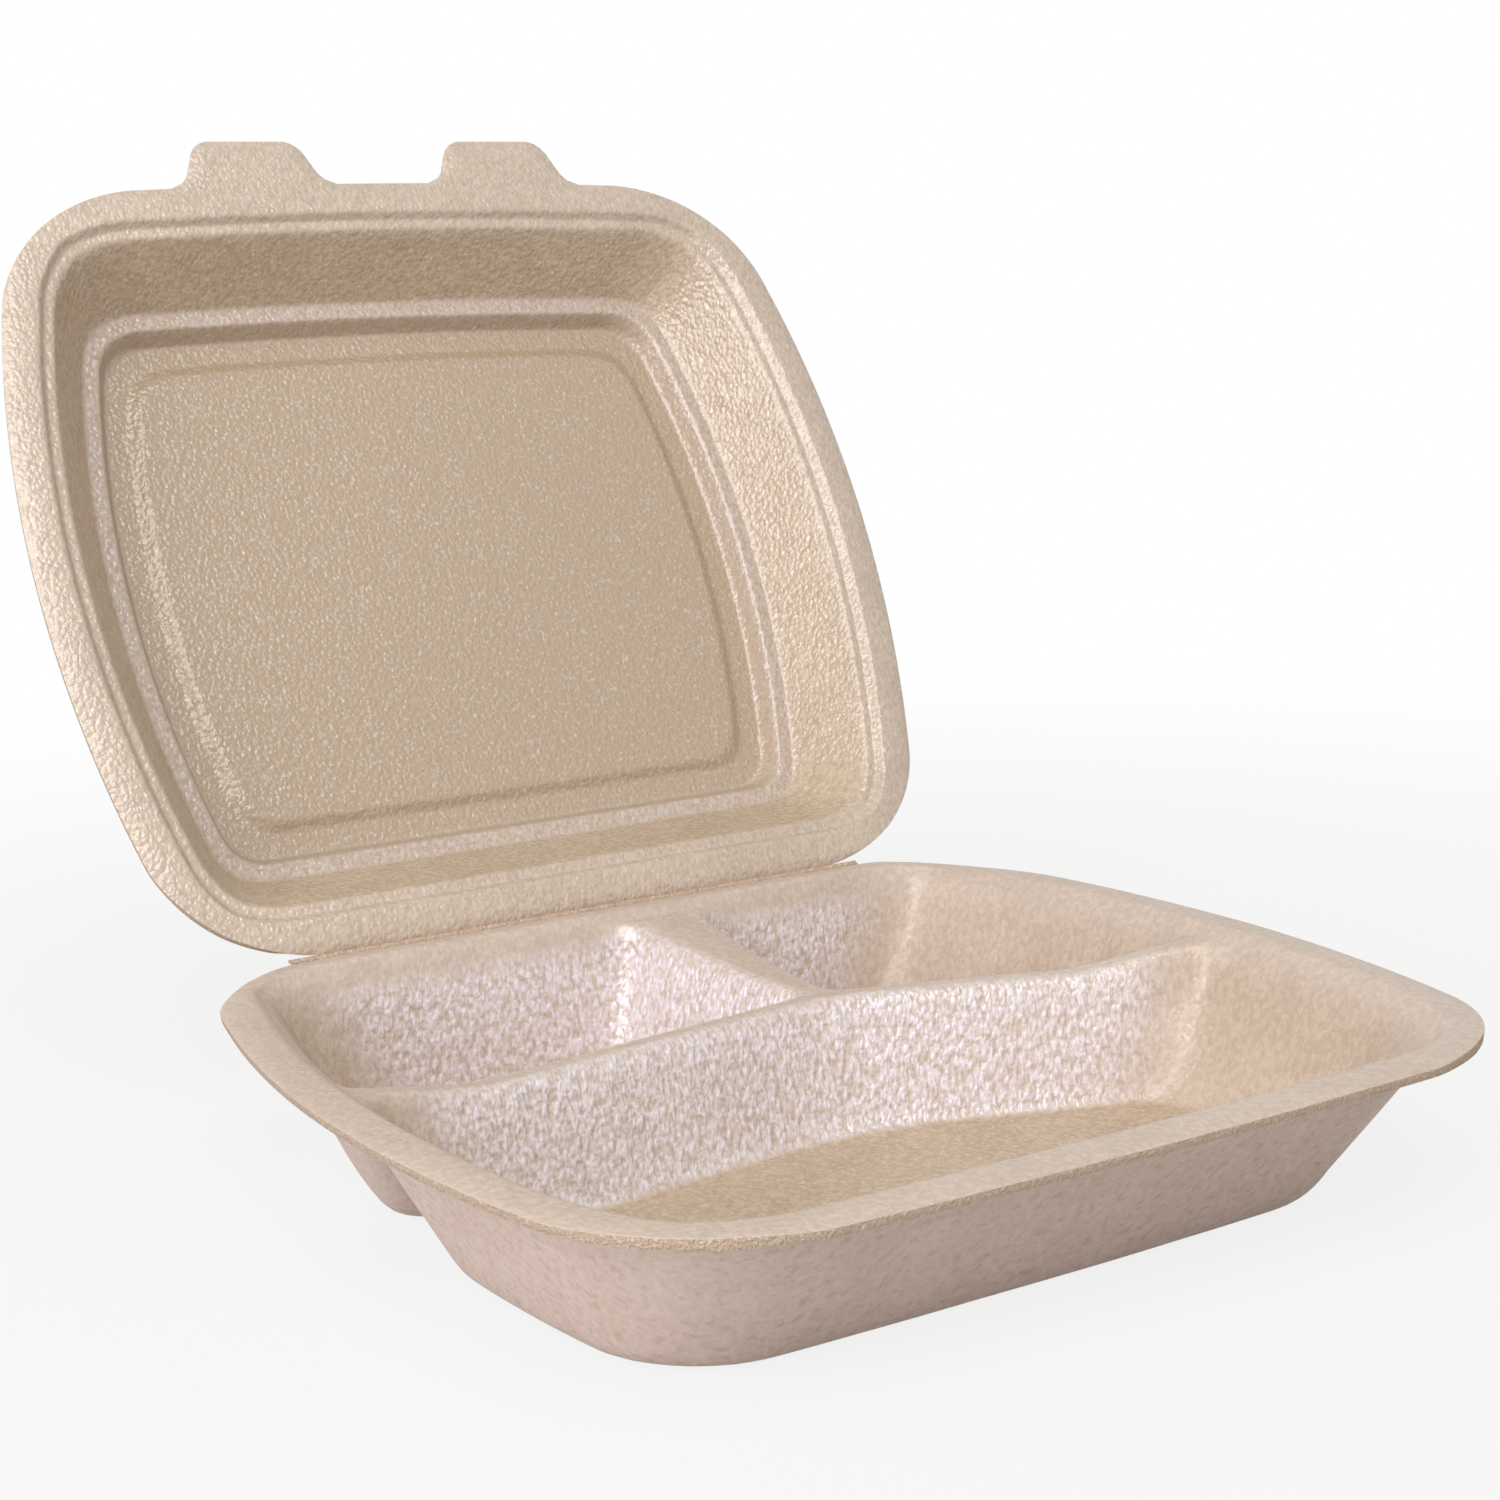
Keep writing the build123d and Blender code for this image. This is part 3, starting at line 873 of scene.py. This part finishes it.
# The ledge around the panel is crazed, and the step below it a little; the same share sets how much painted
# sheen they get
crazed_insets = [24.5, 26, 29, 30.5, 32, 33]
crazed_shares = [0, 0.4, 0.4, 0.15, 0.15, 0]
lid_hinge_distances = np.array([-y for _, y in lid_points])
lid_world = [(lid_origin + Vector((x, 0, 0)) + lid_back * y) * mm for x, y in lid_points]
lid = flat_sheet(
    "lid_sheet",
    lid_world,
    lid_faces,
    {
        "inset": np.array(lid_insets) * mm,
        "hinge": lid_hinge_distances * mm,
        "crazed": np.interp(lid_insets, crazed_insets, crazed_shares),
    },
)
lid_press = press_tree(
    "press_lid",
    [
        ("Rolled Edge", "inset"),
        ("Border Step", "inset"),
        ("Wall", "inset"),
        ("Panel Step", "inset"),
        ("Field", "inset"),
        ("Crease", "hinge"),
    ],
)
lid_inner = inner_skin(
    "lid_inner_skin",
    turn=lid_open_angle,
    attribute="inset",
    drawn=(12.0, 25.0),
    border_painted_sheen=0.12,
    wall_painted_sheen=0.0,
    flat_shade=1.0,
    flat_grain=0.8,
    flat_coat=0.62,
)
lid_outer = outer_skin("lid_outer_skin", lid_open_angle)
lid_edge = cut_edge("lid_cut_edge", lid_open_angle)
lid_values = {
    **edge_values,
    "Press Direction": tuple(lid_up),
    "Thickness": lid_sheet * mm,
    "Edge Pinch": 0.66,
    "Relax Steps": 1,
    "Unevenness": 0.6 * mm,
    "Wave Length": 60 * mm,
    "Border Step Start": 9.0 * mm,
    "Border Step End": 10.6 * mm,
    "Border Step Depth": 2.2 * mm,
    "Border Step Softness": 0.18,
    "Wall Start": 13.2 * mm,
    "Wall End": 25.0 * mm,
    "Wall Depth": 19.3 * mm,
    "Wall Softness": 0.06,
    "Panel Step Start": 29.5 * mm,
    "Panel Step End": 32.0 * mm,
    "Panel Step Depth": 5.5 * mm,
    "Panel Step Softness": 0.15,
    "Field Start": 38.5 * mm,
    "Field End": 41.2 * mm,
    "Field Depth": -1.6 * mm,
    "Field Softness": 0.2,
    "Inner Skin": lid_inner,
    "Outer Skin": lid_outer,
    "Cut Edge": lid_edge,
}
press(lid, lid_press, lid_values)
round_cut_edge(lid)
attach(lid, "lid")
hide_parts("lid")

# Crease
# The pressed line of the same sheet that joins base and lid, squeezed thin so that it folds. It is a
# narrow fan about the fold, held by the base on one side and by the lid on the other.
crease_half_length = 82.0
crease_inner = 0.85
crease_outer = 2.2
crease_bite = math.radians(11.0)
crease_arcs = 10
crease_stations = 110
crease_taper = 7.0
crease_thinnest = 0.15
fold = Vector((0, hinge_y, base_height + crease_gap / 2))
base_angle = -math.pi / 2
lid_angle = math.atan2(lid_up.z, lid_up.y)


def crease_point(x, radius, angle):
    """A point beside the fold, in metres."""
    return (fold + Vector((x, radius * math.cos(angle), radius * math.sin(angle)))) * mm


crease_angles = [
    base_angle - crease_bite + (lid_angle - base_angle + 2 * crease_bite) * i / (crease_arcs - 1)
    for i in range(crease_arcs)
]
crease_verts = []
for station in range(crease_stations):
    along = -crease_half_length + 2 * crease_half_length * station / (crease_stations - 1)
    # Two small waves of different length, so that the pressed line is a little uneven
    ripple = 0.12 * math.sin(along * 0.83) + 0.1 * math.sin(along * 2.17 + 1.0)
    from_end = crease_half_length - abs(along)
    taper = max(crease_thinnest, math.sqrt(min(1.0, from_end / crease_taper)))
    inner_radius = crease_inner + ripple * taper
    outer_radius = crease_inner + (crease_outer - crease_inner + ripple / 2) * taper
    crease_verts += [crease_point(along, inner_radius, angle) for angle in crease_angles]
    crease_verts += [crease_point(along, outer_radius, angle) for angle in crease_angles[::-1]]
ring = 2 * crease_arcs
crease_total = ring * crease_stations
first_end = tuple(range(ring))
last_end = tuple(range(crease_total - ring, crease_total))
crease_faces = [first_end, last_end[::-1]]
for station in range(crease_stations - 1):
    for i in range(ring):
        a = station * ring + i
        b = station * ring + (i + 1) % ring
        crease_faces.append((a, a + ring, b + ring, b))
crease_mesh = bpy.data.meshes.new("crease_web")
crease_mesh.from_pydata([tuple(v) for v in crease_verts], [], crease_faces)
crease_shape = bmesh.new()
crease_shape.from_mesh(crease_mesh)
bmesh.ops.recalc_face_normals(crease_shape, faces=crease_shape.faces)
crease_shape.to_mesh(crease_mesh)
crease_shape.free()
crease_web = bpy.data.objects.new("crease_web", crease_mesh)
bpy.context.scene.collection.objects.link(crease_web)
crease_mesh.materials.append(cut_edge("pressed_crease", 0.0))
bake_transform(crease_web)

# Floor and background
# A plain white sweep under and behind the box. It shows white to the camera and in reflections, and
# keeps a soft shadow near the box.
floor_mesh = bpy.data.meshes.new("floor")
floor_half = 4.0
floor_grey = (0.58, 0.58, 0.58, 1)
white_near_box = 0.84
near_box = 0.2
away_from_box = 0.75
floor_signs = ((-1, -1), (1, -1), (1, 1), (-1, 1))
floor_corners = [(floor_half * x, floor_half * y, 0) for x, y in floor_signs]
floor_mesh.from_pydata(floor_corners, [], [(0, 1, 2, 3)])
floor = bpy.data.objects.new("floor", floor_mesh)
bpy.context.scene.collection.objects.link(floor)
floor_material = bpy.data.materials.new("white_sweep")
floor_material.use_nodes = True
sweep = floor_material.node_tree
sweep_shader = sweep.nodes["Principled BSDF"]
sweep_shader.inputs["Base Color"].default_value = floor_grey
sweep_shader.inputs["Roughness"].default_value = 0.9
sweep_shader.inputs["Specular IOR Level"].default_value = 0.1
white = sweep.nodes.new("ShaderNodeEmission")
white.inputs["Strength"].default_value = 1.0
from_middle = sweep.nodes.new("ShaderNodeVectorMath")
from_middle.operation = "LENGTH"
sweep_place = sweep.nodes.new("ShaderNodeTexCoord")
sweep.links.new(sweep_place.outputs["Object"], from_middle.inputs[0])
far = ramp(sweep, from_middle.outputs["Value"], near_box, away_from_box)
rays = sweep.nodes.new("ShaderNodeLightPath")
seen = math_node(sweep, "MAXIMUM", rays.outputs["Is Camera Ray"], rays.outputs["Is Glossy Ray"])
seen = math_node(sweep, "MAXIMUM", seen, rays.outputs["Is Transmission Ray"])
fade = sweep.nodes.new("ShaderNodeMixShader")
gained_white = math_node(sweep, "MULTIPLY", far, 1 - white_near_box)
shown_white = math_node(sweep, "ADD", white_near_box, gained_white)
sweep.links.new(math_node(sweep, "MULTIPLY", shown_white, seen), fade.inputs[0])
sweep.links.new(sweep_shader.outputs[0], fade.inputs[1])
sweep.links.new(white.outputs[0], fade.inputs[2])
sweep.links.new(fade.outputs[0], sweep.nodes["Material Output"].inputs["Surface"])
floor.data.materials.append(floor_material)

# Light
# Soft studio light: an even room, a large cool window light from the left and a warmer soft light that
# hangs above and a little in front of the box.
room = bpy.data.worlds.new("room")
bpy.context.scene.world = room
room.use_nodes = True
room_tree = room.node_tree
room_light = room_tree.nodes["Background"]
room_light.inputs["Color"].default_value = (1.0, 0.96, 0.9, 1)
room_light.inputs["Strength"].default_value = 0.4
room_white = room_tree.nodes.new("ShaderNodeBackground")
room_white.inputs["Color"].default_value = (1, 1, 1, 1)
room_white.inputs["Strength"].default_value = 1.0
room_rays = room_tree.nodes.new("ShaderNodeLightPath")
room_camera = room_rays.outputs["Is Camera Ray"]
room_seen = math_node(room_tree, "MAXIMUM", room_camera, room_rays.outputs["Is Glossy Ray"])
room_seen = math_node(room_tree, "MAXIMUM", room_seen, room_rays.outputs["Is Transmission Ray"])
room_mix = room_tree.nodes.new("ShaderNodeMixShader")
room_tree.links.new(room_seen, room_mix.inputs[0])
room_tree.links.new(room_light.outputs[0], room_mix.inputs[1])
room_tree.links.new(room_white.outputs[0], room_mix.inputs[2])
room_tree.links.new(room_mix.outputs[0], room_tree.nodes["World Output"].inputs["Surface"])


def soft_lamp(name, place, aim, size, power, colour):
    """A square soft box at place, turned towards aim."""
    lamp = bpy.data.lights.new(name, "AREA")
    lamp.shape = "SQUARE"
    lamp.size = size
    lamp.energy = power
    lamp.color = colour
    holder = bpy.data.objects.new(name, lamp)
    holder.location = place
    holder.rotation_euler = (Vector(aim) - Vector(place)).to_track_quat("-Z", "Y").to_euler()
    bpy.context.scene.collection.objects.link(holder)


lit_spot = (0, 0.05, 0.08)
soft_lamp(
    "window_left",
    place=(-1.2, -0.4, 0.62),
    aim=lit_spot,
    size=0.9,
    power=11.5,
    colour=(0.93, 0.93, 1.0),
)
soft_lamp(
    "overhead",
    place=(-0.35, -0.65, 1.15),
    aim=lit_spot,
    size=0.8,
    power=7.6,
    colour=(1.0, 0.97, 0.93),
)

# Camera
# Set where the photo was taken from: to the left in front of the box and a little above it.
camera_place = Vector((-0.3009, -0.4279, 0.1986))
camera_heading = math.radians(30.72)
camera_dip = math.radians(10.99)
camera_roll = math.radians(-1.605)
focal_pixels = 2507.0
picture_pixels = 1500.0
principal_x = 640.0
sensor = 36.0
forward = Vector(
    (
        math.sin(camera_heading) * math.cos(camera_dip),
        math.cos(camera_heading) * math.cos(camera_dip),
        -math.sin(camera_dip),
    )
)
level = forward.cross(Vector((0, 0, 1))).normalized()
above = level.cross(forward)
across = level * math.cos(camera_roll) + above * math.sin(camera_roll)
upward = across.cross(forward)
camera_data = bpy.data.cameras.new("camera")
camera_data.sensor_width = sensor
camera_data.lens = sensor * focal_pixels / picture_pixels
camera_data.shift_x = (picture_pixels / 2 - principal_x) / picture_pixels
camera = bpy.data.objects.new("camera", camera_data)
turned = Matrix((across, upward, -forward)).transposed().to_4x4()
camera.matrix_world = Matrix.Translation(camera_place) @ turned
bpy.context.scene.collection.objects.link(camera)
bpy.context.scene.camera = camera
bpy.context.scene.view_settings.view_transform = "Standard"
